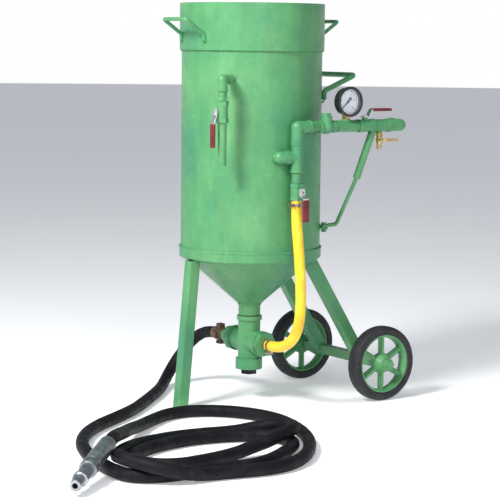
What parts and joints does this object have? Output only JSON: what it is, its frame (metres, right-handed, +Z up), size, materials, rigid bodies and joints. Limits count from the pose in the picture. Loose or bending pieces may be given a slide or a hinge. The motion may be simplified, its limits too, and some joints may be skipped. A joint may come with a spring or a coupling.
{
  "type": "abrasive blasting pot",
  "caption": "Upright steel pressure pot on a front leg and two spoked wheels, with an open filling collar, gauge and valve pipework, a yellow bypass hose and a coiled black blast hose.",
  "frame": {"origin": "middle of the object's footprint box on the floor, without its free blast hose", "axes": "+Z up along the tank, +X from the front leg towards the wheels, Y along the wheel axle"},
  "size_m": [1.5948, 1.3258, 1.285],
  "materials": {
    "green_paint": "semi-gloss enamel",
    "black_iron": "dull black",
    "seal_rubber": "matt",
    "tyre_rubber": "matt",
    "yellow_rubber": "satin",
    "hose_rubber": "dusty matt",
    "plain_steel": "satin",
    "chrome_plate": "bright",
    "brass": "bright",
    "bronze_iron": "dark bronze",
    "nozzle_alloy": "cast and turned",
    "red_sleeve": "dipped",
    "gauge_black": "satin",
    "dial_white": "matt",
    "clear_glass": "clear"
  },
  "bodies": {
    "pot": {"tank_shell": "green_paint", "filler_collar": "green_paint", "upper_head": "green_paint", "outlet_cone": "green_paint", "outlet_socket": "green_paint", "mixing_cross": "green_paint", "stand_pipe": "green_paint", "cross_bushings": "green_paint", "front_leg": "green_paint", "rear_legs": "green_paint", "axle_beam": "green_paint", "axle_nuts": "green_paint", "lifting_handles": "green_paint", "push_handle": "green_paint", "brace_tube": "green_paint", "brace_rod": "green_paint", "brace_lug": "green_paint", "brace_bolt": "green_paint", "vent_pipes": "green_paint", "vent_valve_body": "green_paint", "inlet_valve_body": "green_paint", "bypass_valve_body": "green_paint", "pipe_elbows": "green_paint", "pipe_tees": "green_paint", "pipe_nipples": "green_paint", "check_valve_body": "green_paint", "check_valve_cap": "green_paint", "gauge_pipe": "green_paint", "clean_out_plug": "black_iron", "seat_seal": "seal_rubber", "bypass_hose": "yellow_rubber", "blast_hose_run": "hose_rubber", "blast_hose_coil": "hose_rubber", "hose_clamps": "plain_steel", "hose_tails": "brass", "gauge_stem": "brass", "drain_body": "brass", "tank_claw": "bronze_iron", "hose_claw": "bronze_iron", "nozzle_holder": "nozzle_alloy", "blast_nozzle": "nozzle_alloy", "gauge_case": "gauge_black", "gauge_dial": "dial_white", "gauge_glass": "clear_glass"},
    "near_wheel": {"near_rim": "green_paint", "near_tyre": "tyre_rubber"},
    "far_wheel": {"far_rim": "green_paint", "far_tyre": "tyre_rubber"},
    "filling_valve": {"pop_up_valve": "green_paint"},
    "vent_handle": {"vent_ball": "plain_steel", "vent_lever": "chrome_plate", "vent_grip": "red_sleeve"},
    "inlet_handle": {"inlet_ball": "plain_steel", "inlet_lever": "chrome_plate", "inlet_grip": "red_sleeve"},
    "bypass_handle": {"bypass_ball": "plain_steel", "bypass_lever": "chrome_plate", "bypass_grip": "red_sleeve"},
    "drain_handle": {"drain_lever": "brass"},
    "gauge_needle": {"gauge_pointer": "gauge_black"}
  },
  "joints": [
    {"name": "near_wheel_spin", "type": "hinge", "parent": "pot", "child": "near_wheel", "pos_m": [0.27395, -0.20525, 0.1225], "axis": [0, 1, 0], "continuous": true},
    {"name": "far_wheel_spin", "type": "hinge", "parent": "pot", "child": "far_wheel", "pos_m": [0.27395, 0.24075, 0.1225], "axis": [0, 1, 0], "continuous": true},
    {"name": "filling_valve_rise", "type": "slide", "parent": "pot", "child": "filling_valve", "axis": [0, 0, 1], "range_m": [0, 0.025]},
    {"name": "vent_turn", "type": "hinge", "parent": "pot", "child": "vent_handle", "pos_m": [-0.33624, -0.17691, 0.951], "axis": [1, 0, 0], "range_deg": [0, 90]},
    {"name": "inlet_turn", "type": "hinge", "parent": "pot", "child": "inlet_handle", "pos_m": [0.16445, -0.23825, 0.903], "axis": [0, 0, -1], "range_deg": [0, 90]},
    {"name": "bypass_turn", "type": "hinge", "parent": "pot", "child": "bypass_handle", "pos_m": [-0.09755, -0.23825, 0.702], "axis": [0, 1, 0], "range_deg": [0, 90]},
    {"name": "drain_turn", "type": "hinge", "parent": "pot", "child": "drain_handle", "pos_m": [0.22345, -0.23825, 0.857], "axis": [0, 1, 0], "range_deg": [0, 90]},
    {"name": "gauge_needle_turn", "type": "hinge", "parent": "pot", "child": "gauge_needle", "pos_m": [0.08945, -0.23025, 0.98], "axis": [0, 1, 0], "range_deg": [0, 270], "stiffness_Nm_per_rad": 0.002, "springref_deg": -17.19}
  ]
}
